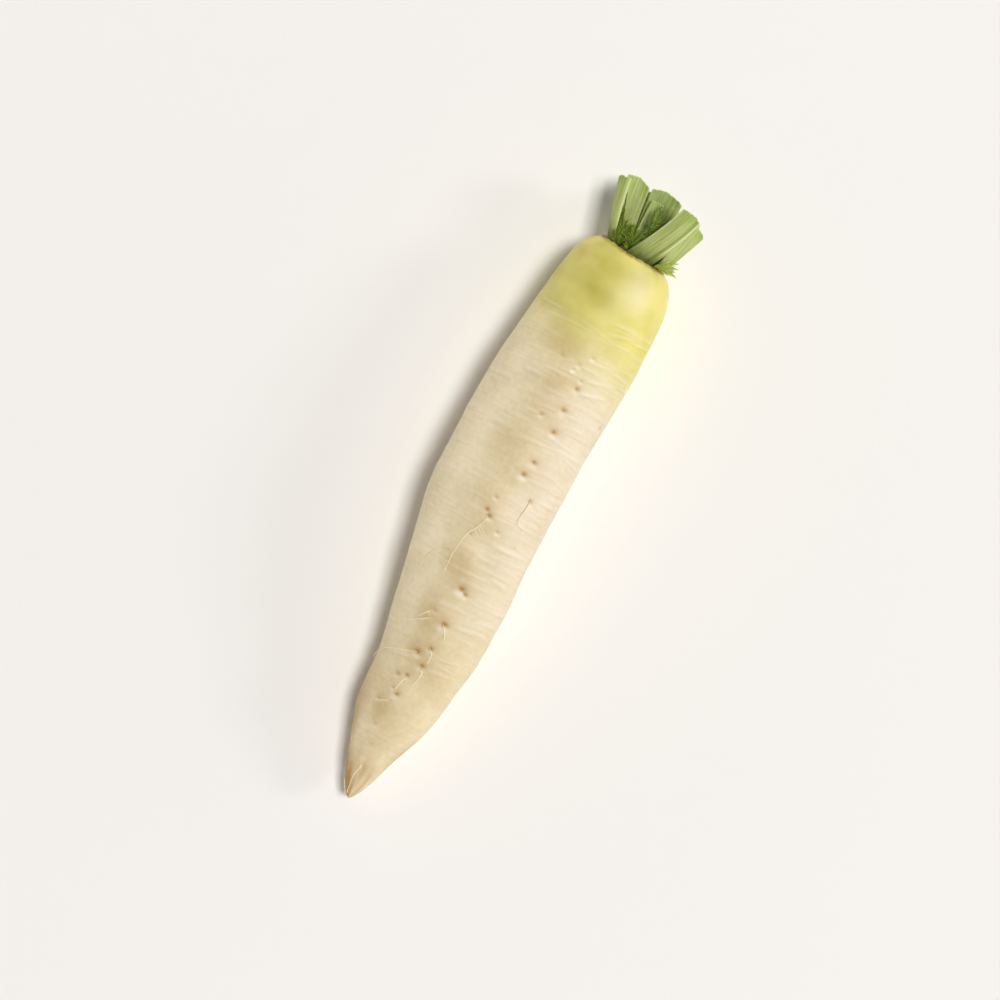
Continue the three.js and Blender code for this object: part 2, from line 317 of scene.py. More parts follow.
# Creases that stand out: distance from the tip, clock angle in degrees, half length in degrees, how far it
# runs towards the crown for each degree, half width, and share of the greatest depth.
CREASES = [
    (120.0, -33, 20, -0.03, 0.8, 0.9),
    (170.8, -32, 18, -0.02, 0.8, 1.0),
    (205.0, -55, 16, 0.01, 0.7, 0.8),
    (272.5, -35, 22, -0.15, 0.9, 0.9),
    (281.0, -38, 24, -0.14, 0.9, 0.7),
    (290.5, -30, 20, -0.12, 0.8, 0.5),
    (311.5, -32, 18, -0.18, 1.0, 0.4),
    (317.5, -30, 22, -0.08, 1.0, 0.35),
]
RANDOM_CREASES = 260
UNDER_PITS = 22
# Seeds of the random draws.
PIT_SEED, CREASE_SEED, STALK_SEED, HEART_SEED, SHOOT_SEED, SCALE_SEED = 7, 23, 40, 60, 70, 91
# The green starts this far from the tip, and this much nearer or further on its two sides. It fades in from
# so many millimetres before that line to so many after it.
GREEN_STATION = 283.5
GREEN_SLANT = 12
GREEN_FADE = (28, 38)


def under_pits():
    """The second row of pits, which grows opposite the first: one every centimetre or so along the
    underside, a little off line, in the same form as the upper ones but by clock angle."""
    random = np.random.default_rng(PIT_SEED)
    stations = np.arange(58, 300, 11.5) + random.uniform(-3.5, 3.5, UNDER_PITS)
    clocks = math.pi + random.normal(0, 0.13, UNDER_PITS)
    sizes = random.uniform(0.3, 1.0, UNDER_PITS)
    lips = random.uniform(0.2, 0.8, UNDER_PITS)
    return list(zip(stations, clocks, 1.1 + 1.3 * sizes, sizes, 0.3 + 0.7 * sizes, lips))


ALL_PITS = [(s, float(clock_of(s, y)), *rest) for s, y, *rest in PITS] + under_pits()


def near(station, clock, pit_station, pit_clock):
    """Distances from a pit along the root and round it, in millimetres on the skin."""
    return station - pit_station, radius_at(pit_station) * wrapped(clock - pit_clock)


def crease(station, clock, row):
    """One crease: a narrow bell across its line, with a ridge half as high beside it towards the crown,
    faded out towards its two ends. Both are given: how deep the crease is, and how high the ridge."""
    middle, centre, half, slant, width, depth = row
    degrees = wrapped(clock - centre * DEGREE) / DEGREE
    ahead = station - middle - slant * degrees
    fade = depth * np.clip(1 - (degrees / half) ** 2, 0, 1)
    return fade * hump(ahead, width), 0.5 * fade * hump(ahead - 2.1 * width, 1.2 * width)


def random_creases():
    """Fine creases round the root, crowded on the side towards -Y and between the tip third and the
    shoulder."""
    random = np.random.default_rng(CREASE_SEED)
    rows = []
    for i in range(RANDOM_CREASES):
        centre = random.normal(-58, 42) if i % 3 else random.uniform(-180, 180)
        rows.append(
            (
                random.uniform(85, 322),
                centre,
                random.uniform(9, 34),
                random.normal(-0.01, 0.035),
                random.uniform(0.55, 0.95),
                random.uniform(0.15, 0.6),
            )
        )
    return rows


ALL_CREASES = CREASES + random_creases()


def tip_ridges(station, clock):
    """Fine ridges that run up the tip, from about -1.6 to 1.6."""
    return np.sin(9 * clock + 0.12 * station) + 0.6 * np.sin(14 * clock - 0.2 * station + 1)


def skin_relief(station, clock, look):
    """How far the skin stands out from the plain outline, in metres: low swells, creases, pits with a wide
    dip and a raised lip on the tip side, ridges along the tip and puckers round the crown."""
    body = smoothstep(station, 6, 60) * (1 - smoothstep(station, 345, ROOT_LENGTH))
    relief = look.lump_height * body * waves(station, clock, 3, 12, 38, 110)
    relief = relief + 0.25 * look.lump_height * body * waves(station, clock, 5, 14, 9, 22)
    for row in ALL_CREASES:
        valley, ridge = crease(station, clock, row)
        relief = relief + look.crease_depth * (ridge - valley)
    for pit_station, pit_clock, half, depth, _, lip in ALL_PITS:
        ahead, beside = near(station, clock, pit_station, pit_clock)
        bowl = np.exp(-(((ahead / (0.62 * half)) ** 2 + (beside / half) ** 2) ** 1.3))
        dip = hump(ahead, 3.2 * half) * hump(beside, 3.6 * half)
        rim = hump(ahead + 1.15 * half, 0.6 * half) * hump(beside, 1.2 * half)
        relief = relief + look.pit_depth * depth * (0.3 * (0.3 + lip) * rim - bowl - 0.22 * dip)
    tip = 1 - smoothstep(station, 8, 42)
    relief = relief + 0.16 * MM * tip * smoothstep(station, 1, 8) * tip_ridges(station, clock)
    crown = smoothstep(station, 338, ROOT_LENGTH - 2)
    puckers = np.sin(8 * clock + 0.6) + 0.5 * np.sin(19 * clock) + 0.3 * np.sin(31 * clock + 2)
    return relief + 0.22 * MM * crown * puckers


def skin_tints(station, clock):
    """Where each tint shows, from 0 to 1: shoulder is yellow green above a slanting line, olive its
    greenest part, with painted shade on its side towards +Y, stain the brown of pits and tip, with a little
    painted shade in the creases, lip the pale scar tissue beside a pit, with a painted highlight on the
    ridges beside creases and on the shoulder, cork the dry ring round the crown, pale the side towards -Y,
    where the lights are, as painted light and shade in a skin colour of its own, band the warmer tip third,
    the warmer strip along the upper row of pits, partly painted shade on the top, and painted shade on the
    side towards +Y, and taut the tight skin on the shoulder, which is glossier."""
    swell = waves(station, clock, 11, 10, 18, 60)
    streak = waves(station, 0.4 * clock, 13, 16, 3, 11)
    line = GREEN_STATION + GREEN_SLANT * np.sin(clock) + 2.5 * swell + 0.8 * streak
    shoulder = smoothstep(station, line - GREEN_FADE[0], line + GREEN_FADE[1])
    # Painted shade: the olive lies mostly on the shoulder's side towards +Y, away from the lights.
    shaded_side = 0.5 + 0.5 * np.sin(clock + 0.3)
    cloud = waves(station, clock, 17, 16, 9, 34)
    olive = smoothstep(station, 284, 338) * (0.05 + 0.95 * shaded_side) * (0.85 + 0.4 * swell + 0.3 * cloud)
    olive = olive * (1 - 0.5 * hump(wrapped(clock - 1.45), 0.5))
    freckle = hump(station - 346, 5) * hump(wrapped(clock - 0.95), 0.22)
    stain = 0.35 * freckle
    lip_and_highlight = np.zeros_like(shoulder)
    for pit_station, pit_clock, half, _, brown, lip in ALL_PITS:
        ahead, beside = near(station, clock, pit_station, pit_clock)
        core = np.exp(-(((ahead / (0.55 * half)) ** 2 + (beside / (0.8 * half)) ** 2) ** 1.1))
        halo = hump(ahead - 0.4 * half, 1.7 * half) * hump(beside, 2.3 * half)
        stain = np.maximum(stain, brown * (0.75 * core + 0.32 * halo))
        scar = hump(ahead + 1.3 * half, 0.7 * half) * hump(beside, 1.4 * half)
        lip_and_highlight = np.maximum(lip_and_highlight, 1.3 * lip * scar)
    for row in ALL_CREASES:
        valley, ridge = crease(station, clock, row)
        # Painted shade: each crease's valley is browned a little.
        stain = np.maximum(stain, 0.2 * valley)
        # Painted highlight: the ridge beside each crease is paled.
        lip_and_highlight = np.maximum(lip_and_highlight, 1.1 * ridge)
    brown = 0.4 + 0.46 * np.sin(clock) + 0.2 * swell + 0.12 * tip_ridges(station, clock)
    tip = (1 - smoothstep(station, 8, 44)) * brown
    flank = hump(station - 46, 26) * smoothstep(np.sin(clock), 0.62, 1.0)
    flank = flank + 0.6 * hump(station - 36, 13) * smoothstep(-np.sin(clock), 0.7, 1.0)
    stain = np.maximum(stain, np.clip(1.1 * tip, 0, 0.9))
    stain = np.maximum(stain, 0.62 * flank * (1 + 0.25 * swell))
    ragged = 0.6 * np.sin(23 * clock) + 0.5 * np.sin(41 * clock + 1) + 0.4 * np.sin(67 * clock + 2)
    cork = smoothstep(station + 0.3 * ragged, ROOT_LENGTH - 0.7, ROOT_LENGTH - 0.05)
    cork = cork * (0.72 + 0.28 * np.sin(5 * clock + 0.8))
    away = wrapped(-clock) / DEGREE
    body = smoothstep(station, 50, 175)
    # Painted light and shade: pale marks the side towards -Y, where the lights are, for a skin colour of its
    # own.
    pale = smoothstep(away, 0, 34) * (1 - smoothstep(away, 120, 175)) * (0.3 + 0.7 * body)
    taut = smoothstep(station, 312, 332) * smoothstep(away, 8, 24) * (1 - smoothstep(away, 70, 100))
    # A warmer strip along the upper row of pits, partly painted shade on the top, held back on the side
    # towards the lights.
    row_clock = clock_of(station, 7.0)
    warm_tone_and_shade = hump(wrapped(clock - row_clock), 0.42) * smoothstep(station, 25, 70)
    warm_tone_and_shade = warm_tone_and_shade * (1 - 0.75 * pale) * (0.8 + 0.25 * swell)
    warm_tone_and_shade = np.maximum(warm_tone_and_shade, (0.4 + 0.22 * smoothstep(station, 45, 90)) * (1 - smoothstep(station, 85, 175)))
    # Painted shade: the side towards +Y, away from the lights, is warmed towards sand.
    warm_tone_and_shade = np.maximum(warm_tone_and_shade, 0.34 * smoothstep(np.sin(clock), 0.55, 0.97))
    # Painted highlight: a pale patch on the shoulder, on the side towards the lights.
    lip_and_highlight = np.maximum(lip_and_highlight, 0.34 * hump(station - 343, 13) * hump(away - 24, 17))
    return {
        "shoulder": shoulder,
        "olive": np.clip(olive, 0, 1),
        "stain": np.clip(stain, 0, 1),
        "lip": np.clip(lip_and_highlight, 0, 1),
        "cork": cork,
        "pale": np.clip(pale, 0, 1),
        "warm_tone_and_shade": np.clip(warm_tone_and_shade, 0, 1),
        "taut": taut,
    }


# ---- from arrays to meshes ----
def tube(rings, start, end, along, **fields):
    """A closed shell from rings of points, rows x columns x 3, with a point closing each end. It returns
    points, triangles, a texture place for each triangle corner, and one number per point for each field."""
    rows, columns = rings.shape[:2]
    points = np.concatenate([rings.reshape(-1, 3), [start, end]])
    i, j = np.meshgrid(np.arange(rows - 1), np.arange(columns), indexing="ij")
    a = i * columns + j
    b = i * columns + (j + 1) % columns
    sides = np.stack([a, b, b + columns, a, b + columns, a + columns], -1).reshape(-1, 3)
    j = np.arange(columns)
    first = np.stack([j, np.full(columns, rows * columns), (j + 1) % columns], -1)
    top = (rows - 1) * columns
    last = np.stack([top + j, top + (j + 1) % columns, np.full(columns, rows * columns + 1)], -1)
    along = np.broadcast_to(along, (rows,))
    i, j = np.meshgrid(np.arange(rows - 1), np.arange(columns), indexing="ij")
    near_u, far_u = j / columns, (j + 1) / columns
    low_v, high_v = along[i], along[i + 1]
    u = np.stack([near_u, far_u, far_u, near_u, far_u, near_u], -1).reshape(-1, 3)
    v = np.stack([low_v, low_v, high_v, low_v, high_v, high_v], -1).reshape(-1, 3)
    j = np.arange(columns)
    fan_u = [np.stack([j, j + 0.5, j + 1], -1) / columns, np.stack([j, j + 1, j + 0.5], -1) / columns]
    fan_v = [np.full((columns, 3), along[0]), np.full((columns, 3), along[-1])]
    places = np.stack([np.concatenate([u, *fan_u]), np.concatenate([v, *fan_v])], -1)
    filled = {}
    for name, values in fields.items():
        values = np.broadcast_to(values, (rows, columns))
        filled[name] = np.concatenate([values.ravel(), [values[0].mean(), values[-1].mean()]])
    return facing_out(points, np.concatenate([sides, first, last]), places, filled)


def facing_out(points, faces, places, fields):
    """The same shell with its triangles turned, if need be, so that the volume they enclose is positive."""
    a, b, c = (points[faces[:, k]] for k in range(3))
    volume = np.einsum("ij,ij->i", a, np.cross(b, c)).sum()
    if volume < 0:
        faces, places = faces[:, ::-1], places[:, ::-1]
    return points, faces, places, fields


def together(shells):
    """Several shells as one, with their points and triangles counted on."""
    starts = np.cumsum([0] + [len(shell[0]) for shell in shells[:-1]])
    points = np.concatenate([shell[0] for shell in shells])
    faces = np.concatenate([shell[1] + start for shell, start in zip(shells, starts)])
    places = np.concatenate([shell[2] for shell in shells])
    fields = {name: np.concatenate([shell[3][name] for shell in shells]) for name in shells[0][3]}
    return points, faces, places, fields


def add_piece(name, shell, material, nodes):
    """Puts a shell into a mesh object that rides on the vegetable and stands for its nodes."""
    points, faces, places, fields = shell
    mesh = bpy.data.meshes.new(name)
    mesh.vertices.add(len(points))
    mesh.vertices.foreach_set("co", points.astype(np.float32).ravel())
    mesh.loops.add(faces.size)
    mesh.loops.foreach_set("vertex_index", faces.astype(np.int32).ravel())
    mesh.polygons.add(len(faces))
    mesh.polygons.foreach_set("loop_start", np.arange(0, faces.size, 3, dtype=np.int32))
    mesh.polygons.foreach_set("use_smooth", np.ones(len(faces), bool))
    mesh.uv_layers.new(name="Surface").data.foreach_set("uv", places.astype(np.float32).ravel())
    for field, values in fields.items():
        attribute = mesh.attributes.new(field, "FLOAT", "POINT")
        attribute.data.foreach_set("value", values.astype(np.float32))
    mesh.update(calc_edges=True)
    mesh.validate()
    mesh.materials.append(material)
    piece = bpy.data.objects.new(name, mesh)
    bpy.context.scene.collection.objects.link(piece)
    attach(piece, "root")
    if nodes:
        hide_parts(*nodes)
    return piece


# ---- materials ----
def add_node(tree, kind, inputs=None, **settings):
    """Adds one shader node: settings are its own properties, and inputs are values or sockets to link."""
    node = tree.nodes.new(kind)
    for name, value in settings.items():
        setattr(node, name, value)
    for key, value in (inputs or {}).items():
        if isinstance(value, bpy.types.NodeSocket):
            tree.links.new(value, node.inputs[key])
        else:
            node.inputs[key].default_value = value
    return node


def new_material(name):
    """An empty node material with its output, and the tree to build in."""
    material = bpy.data.materials.new(name)
    material.use_nodes = True
    material.node_tree.nodes.clear()
    return material, material.node_tree


# Sockets of the Mix node when it mixes colours.
FACTOR, COLOUR_A, COLOUR_B, COLOUR_OUT = 0, 6, 7, 2


def blend(tree, share, under, over):
    """The colour that lies a share of the way from one colour to another."""
    inputs = {FACTOR: share, COLOUR_A: under, COLOUR_B: over}
    return add_node(tree, "ShaderNodeMix", inputs, data_type="RGBA").outputs[COLOUR_OUT]


def scaled(tree, value, gain, shift=0.0, clamp=False):
    """A number times a gain, plus a shift, held between 0 and 1 if it is clamped."""
    inputs = {0: value, 1: gain, 2: shift}
    return add_node(tree, "ShaderNodeMath", inputs, operation="MULTIPLY_ADD", use_clamp=clamp).outputs[0]


def noise(tree, place, millimetres, detail):
    """Cloudy noise from 0 to 1 whose clouds are so many millimetres across."""
    inputs = {"Vector": place, "Scale": 1 / (millimetres * MM), "Detail": detail}
    return add_node(tree, "ShaderNodeTexNoise", inputs).outputs["Fac"]


def ranged(tree, value, low=0.0, high=1.0, to_low=0.0, to_high=1.0):
    """A number between low and high carried to the range from to_low to to_high."""
    inputs = {"Value": value, "From Min": low, "From Max": high, "To Min": to_low, "To Max": to_high}
    return add_node(tree, "ShaderNodeMapRange", inputs).outputs["Result"]


def joined(tree, operation, a, b, clamp=False):
    """Two numbers joined by an operation such as ADD or MAXIMUM."""
    return add_node(tree, "ShaderNodeMath", {0: a, 1: b}, operation=operation, use_clamp=clamp).outputs[0]


def painted(tree, name):
    """A number that each point of the mesh carries under a name."""
    return add_node(tree, "ShaderNodeAttribute", attribute_name=name).outputs["Fac"]


def bumped(tree, height, strength, millimetres):
    """The surface's direction, tilted by a height."""
    inputs = {"Height": height, "Strength": strength, "Distance": millimetres * MM}
    return add_node(tree, "ShaderNodeBump", inputs).outputs[0]


def add_surface(tree, inputs):
    """The surface's shader with its inputs, joined to the material's output."""
    shader = add_node(tree, "ShaderNodeBsdfPrincipled", inputs)
    add_node(tree, "ShaderNodeOutputMaterial", {"Surface": shader.outputs[0]})


def daikon_skin(look):
    """Fresh daikon skin, washed: thin, taut and moist over white flesh. It gives the eye a broad soft gloss,
    fine rings across the root, warm patches, and a yellow green shoulder that fades in over a few
    centimetres."""
    material, tree = new_material("fresh_daikon_skin")
    place = add_node(tree, "ShaderNodeTexCoord").outputs["Object"]
    tints = {
        name: painted(tree, name)
        for name in ("shoulder", "olive", "stain", "lip", "cork", "pale", "warm_tone_and_shade", "taut")
    }
    # Rings: growth lines about 1.4 mm apart that run a few centimetres round the root.
    spacing = (1 / (1.4 * MM), 1 / (24 * MM), 1 / (24 * MM))
    rings_place = add_node(tree, "ShaderNodeMapping", {"Vector": place, "Scale": spacing})
    rings = add_node(
        tree, "ShaderNodeTexNoise", {"Vector": rings_place.outputs[0], "Scale": 1.0, "Detail": 3.0}
    ).outputs["Fac"]
    ring_lines = ranged(tree, rings, low=0.52, high=0.78)
    # Patches: 26 mm clouds of warmer skin, and 3 mm mottle inside them.
    patches = noise(tree, place, 26, 3.0)
    mottle = noise(tree, place, 3, 4.0)
    # Grain: 0.5 mm skin cells, which break up the stains' edges.
    grain = noise(tree, place, 0.5, 2.0)
    warm = ranged(tree, patches, low=0.4, high=0.75, to_high=0.4)
    # Painted light and shade: the side towards the lights takes the pale colour, the rest cream.
    sides = blend(tree, tints["pale"], look.cream, look.pale)
    speckle = scaled(tree, mottle, 0.5, -0.22)
    clouded = joined(tree, "ADD", warm, speckle)
    # Warmer patches, the warm tone of the tip third and the pit row, and painted shade on the top and on the
    # side towards +Y, all towards sand.
    warmth = scaled(tree, tints["warm_tone_and_shade"], 0.7, clouded, clamp=True)
    flesh = blend(tree, warmth, sides, look.sand)
    line_share = scaled(tree, ring_lines, 0.38)
    lined = blend(tree, line_share, flesh, look.sand)
    green_edge = scaled(tree, mottle, 0.3, -0.15)
    green = joined(tree, "ADD", tints["shoulder"], green_edge, clamp=True)
    green_share = scaled(tree, green, tints["shoulder"])
    shouldered = blend(tree, green_share, lined, look.shoulder)
    uneven = scaled(tree, patches, 1.3, -0.62)
    uneven_green = scaled(tree, uneven, tints["shoulder"])
    # Olive: the shoulder's greenest patches, with painted shade on its side towards +Y.
    olive_share = scaled(tree, tints["olive"], 0.6, uneven_green, clamp=True)
    greenest = blend(tree, olive_share, shouldered, look.olive)
    # Pale scar tissue beside the pits, and painted highlights on the crease ridges and the shoulder.
    lipped_and_highlit = blend(tree, tints["lip"], greenest, linear("#F4E8D2"))
    rough_edge = scaled(tree, grain, 0.9, 0.5)
    stain_share = scaled(tree, tints["stain"], rough_edge, clamp=True)
    stained = blend(tree, stain_share, lipped_and_highlit, look.stain)
    cork_share = scaled(tree, tints["cork"], rough_edge, clamp=True)
    corked = blend(tree, cork_share, stained, look.cork)
    height = scaled(tree, grain, 0.35, rings)
    bump = bumped(tree, height, 0.6, 0.22)
    dryness = joined(tree, "MAXIMUM", tints["stain"], tints["cork"])
    smoothness = ranged(tree, mottle, to_low=0.44, to_high=0.58)
    matt = scaled(tree, dryness, 0.3, smoothness)
    roughness = scaled(tree, tints["taut"], -0.13, matt)
    add_surface(
        tree,
        {
            "Base Color": corked,
            "Roughness": roughness,
            "IOR": 1.4,
            "Normal": bump,
            "Subsurface Weight": 0.12,
            "Subsurface Radius": (1.0, 0.7, 0.35),
            "Subsurface Scale": 3 * MM,
        },
    )
    return material


def stalk_skin(look):
    """Fresh leaf stalk: waxy skin over wet fibres. It gives the eye fine pale and dark lines along its
    length, pale margins with a painted highlight beside its fold, painted shade in deeper green at its foot,
    in its channel and fold and over the darker stalks, a soft gloss, and a pale wet face with fibre ends
    where it is cut."""
    material, tree = new_material("fresh_leaf_stalk")
    place = add_node(tree, "ShaderNodeTexCoord")
    foot, cut, rim, fresh = (
        painted(tree, name)
        for name in ("foot", "cut", "rim", "fresh")
    )
    # Fibres: pale lines about 0.7 mm apart round a stalk of 30 mm girth, running most of its length.
    fibre_place = add_node(
        tree, "ShaderNodeMapping", {"Vector": place.outputs["UV"], "Scale": (42.0, 2.2, 1.0)}
    )
    fibres = add_node(
        tree, "ShaderNodeTexNoise", {"Vector": fibre_place.outputs[0], "Scale": 1.0, "Detail": 3.0}
    ).outputs["Fac"]
    fibre_share = ranged(tree, fibres, low=0.48, high=0.72, to_high=0.42)
    dark_share = ranged(tree, fibres, low=0.48, high=0.3, to_high=0.3)
    cloud = noise(tree, place.outputs["Object"], 6, 3.0)
    fresh_edge = scaled(tree, cloud, 0.8, -0.4)
    fresh_share = joined(tree, "ADD", fresh, fresh_edge, clamp=True)
    skin = blend(tree, fresh_share, look.stalk, look.fresh)
    darker = blend(tree, dark_share, skin, look.stalk_dark_and_shade)
    # Pale fibres and margins, and a painted highlight on the crest beside the fold.
    pale_and_highlight_share = joined(tree, "MAXIMUM", rim, fibre_share)
    lined = blend(tree, pale_and_highlight_share, darker, look.stalk_rib_and_highlight)
    # Painted shade: deeper green at the stalk's foot, in its channel and fold, and over the darker stalks.
    painted_shade_edge = scaled(tree, cloud, 0.9, -0.45)
    painted_shade_sum = joined(tree, "ADD", foot, painted_shade_edge, clamp=True)
    painted_shade_share = scaled(tree, painted_shade_sum, foot)
    with_painted_shade = blend(tree, painted_shade_share, lined, look.stalk_dark_and_shade)
    # Fibre ends: wet dots 1.3 mm apart on the cut face.
    ends = add_node(
        tree, "ShaderNodeTexVoronoi", {"Vector": place.outputs["Object"], "Scale": 1 / (1.3 * MM)}
    ).outputs["Distance"]
    end_share = ranged(tree, ends, low=0.15, high=0.4)
    face = blend(tree, end_share, look.stalk, look.cut)
    surface = blend(tree, cut, with_painted_shade, face)
    bump = bumped(tree, fibres, 0.4, 0.3)
    roughness = ranged(tree, cloud, to_low=0.36, to_high=0.56)
    add_surface(
        tree,
        {
            "Base Color": surface,
            "Roughness": roughness,
            "IOR": 1.42,
            "Normal": bump,
            "Subsurface Weight": 0.1,
            "Subsurface Radius": (0.6, 1.0, 0.3),
            "Subsurface Scale": 1.5 * MM,
        },
    )
    return material


def leaf_blade(name, body, edge):
    """Young leaf, or the dry base of one: a soft thin blade with fine hairs that scatter its gloss. It gives
    the eye a matt colour that pales towards each point."""
    material, tree = new_material(name)
    place = add_node(tree, "ShaderNodeTexCoord").outputs["Object"]
    point = painted(tree, "point")
    # Blisters: 1.5 mm puckers between the veins.
    blister = noise(tree, place, 1.5, 3.0)
    ripened = scaled(tree, blister, 1.15)
    share = scaled(tree, ripened, point, clamp=True)
    tint = blend(tree, share, body, edge)
    bump = bumped(tree, blister, 0.5, 0.25)
    add_surface(
        tree,
        {
            "Base Color": tint,
            "Roughness": 0.6,
            "IOR": 1.42,
            "Specular IOR Level": 0.25,
            "Normal": bump,
        },
    )
    return material


def dry_fibre(look):
    """Rootlet fibre: dry and papery. It gives the eye a pale matt thread, browner where it leaves its
    pit."""
    material, tree = new_material("dry_rootlet_fibre")
    place = add_node(tree, "ShaderNodeTexCoord").outputs["Object"]
    foot = painted(tree, "foot")
    speck = noise(tree, place, 1.2, 3.0)
    share = scaled(tree, foot, speck, clamp=True)
    tint = blend(tree, share, look.fibre, linear("#A9803F"))
    bump = bumped(tree, speck, 0.4, 0.1)
    add_surface(
        tree, {"Base Color": tint, "Roughness": 0.7, "Normal": bump}
    )
    return material


def matt_board(look):
    """Matt laminate table top. It gives the eye an even pale surface with the faintest tooth."""
    material, tree = new_material("matt_table_top")
    place = add_node(tree, "ShaderNodeTexCoord").outputs["Object"]
    tooth = noise(tree, place, 0.8, 2.0)
    bump = bumped(tree, tooth, 0.05, 0.05)
    add_surface(
        tree,
        {"Base Color": look.floor, "Roughness": 0.9, "Specular IOR Level": 0.2, "Normal": bump},
    )
    return material


# ---- root ----
ROOT_ROWS = 400
FACE_ROWS = 16
ROOT_COLUMNS = 236


def root_shell(look):
    """The root's skin as a grid of distance from the tip by clock angle. The columns crowd towards the top.
    Past the shoulder the rows run in over the crown's face to its middle, with a low corky ring."""
    step = np.linspace(0, 1, ROOT_ROWS + 1)[1:]
    station = ROOT_LENGTH * mix(step, 0.5 - 0.5 * np.cos(math.pi * step), 0.22)[:, None]
    turn = TURN * np.arange(ROOT_COLUMNS) / ROOT_COLUMNS
    clock = (turn - 0.35 * np.sin(turn))[None, :]
    distance = radius_at(station) + skin_relief(station, clock, look) / MM
    skin = beside_axis(station + 0 * clock, clock, distance)
    inward = np.linspace(1, 0, FACE_ROWS + 1)[1:-1][:, None]
    rim = distance[-1:] * inward
    ring = 0.9 * hump(inward - 0.93, 0.06) - 1.2 * smoothstep(-inward, -0.9, -0.6)
    rough = 0.35 * np.sin(13 * clock + 9 * inward) * np.sin(7 * clock - 20 * inward)
    face = beside_axis(ROOT_LENGTH + 0 * rim, clock, rim)
    face[..., 0] += (ring + rough * inward) * MM
    tints = skin_tints(station + 0 * clock, clock)
    last = np.ones((len(inward), 1))
    flat = {name: np.concatenate([values, values[-1:] * last]) for name, values in tints.items()}
    rings = np.concatenate([skin, face])
    tip = beside_axis(np.array(0.0), np.array(0.0), np.array(0.0))
    middle = face[-1].mean(0)
    along = np.concatenate([station[:, 0] / ROOT_LENGTH, 1 + 0.05 * (1 - inward[:, 0])])
    return tube(rings, tip, middle, along, **flat)


class DAIKON_OT_root(bpy.types.Operator):
    """Adds the root: skin with pits, creases, a stained tip and a green shoulder"""

    bl_idname = "daikon.root"
    bl_label = "Root"

    def execute(self, context):
        look = context.scene.daikon_root
        add_piece("daikon_root", root_shell(look), daikon_skin(look), ["root"])
        return {"FINISHED"}


# ---- rootlets ----
# Each route is a list of (distance from the tip, clock angle in degrees, height off the skin).
ROOTLETS = [
    [(24.5, 18, 0), (21.5, 8, 0.4), (13.5, 22, 0.6), (8, 26, 0.3), (2.5, 40, 0.3)],
    [(10, 88, 0.3), (5.5, 92, 0.5), (1, 80, 0.6)],
    [(82, 10, 0), (77.5, 13, 0.8), (72.5, 15, 0.2)],
    [(97.6, 12, 0), (95.7, 22, 1.2), (93, 40, 1.5), (89.6, 60, 1), (85, 80, 1.2), (81.5, 92, 2)],
    [(90.6, -2, 0), (86.3, -5, 0.8), (78.3, -2, 0.2)],
    [(102.3, 0, 0), (99.8, -5, 0.7), (94.3, -5, 0.2)],
    [(118.7, -3, 0), (115.3, -7, 0.9), (110.8, -11, 0.3)],
    [(123.7, 13, 0), (120.3, 19, 0.6), (116.7, 25, 0.3)],
    [(120, 9, 0), (115.3, 23, 0.2), (110.3, 41, 0.2)],
    [(186.5, -3, 0), (181, -1, 0.3), (176, 3, 0.1), (172, 7, 0.1), (165, 11, 0.1), (157, 13.5, 0.1)]
    + [(146, 16, 0.4)],
    [(205.5, -33, 0), (197.5, -32, 0.3), (190.5, -31, 0.2), (188, -40, 0.4)],
    [(158.8, 19, 0), (157.2, 28, 0.3), (152.5, 38, 0.2), (146, 46, 0.2), (136, 54, 0.4)],
    [(65, 205, 0), (60, 199, 0.6), (53, 201, 0.2)],
    [(87, 220, 0), (82, 226, 0.8), (74, 229, 0.2)],
    [(107, 150, 0), (102, 141, 0.9), (98, 130, 1.1), (91, 121, 0.4)],
    [(322, 158, 0), (316, 150, 0.6), (312, 141, 0.3)],
    [(65.3, 12, 0), (63.3, 22, 0.4), (61, 34, 0.2)],
]


def smooth_path(points, count):
    """Points evenly spread over a Catmull-Rom curve through the given ones, as a whole array."""
    points = np.asarray(points, float)
    padded = np.concatenate([2 * points[:1] - points[1:2], points, 2 * points[-1:] - points[-2:-1]])
    place = np.linspace(0, len(points) - 1, count)
    i = np.minimum(place.astype(int), len(points) - 2)
    t = (place - i)[:, None]
    a, b, c, d = (padded[i + k] for k in range(4))
    return 0.5 * (2 * b + (c - a) * t + (2 * a - 5 * b + 4 * c - d) * t**2 + (3 * b - a - 3 * c + d) * t**3)


def thread(path, out, radius, sides, **fields):
    """A thin round tube: circles of the given radii, square to the path, closed at both ends."""
    tangent = np.gradient(path, axis=0)
    tangent /= np.linalg.norm(tangent, axis=1, keepdims=True)
    side = np.cross(out, tangent)
    side /= np.linalg.norm(side, axis=1, keepdims=True)
    up = np.cross(tangent, side)
    turn = TURN * np.arange(sides) / sides
    circle = np.cos(turn)[None, :, None] * side[:, None] + np.sin(turn)[None, :, None] * up[:, None]
    rings = path[:, None] + np.asarray(radius)[:, None, None] * circle
    return tube(rings, path[0], path[-1], np.linspace(0, 1, len(path)), **fields)


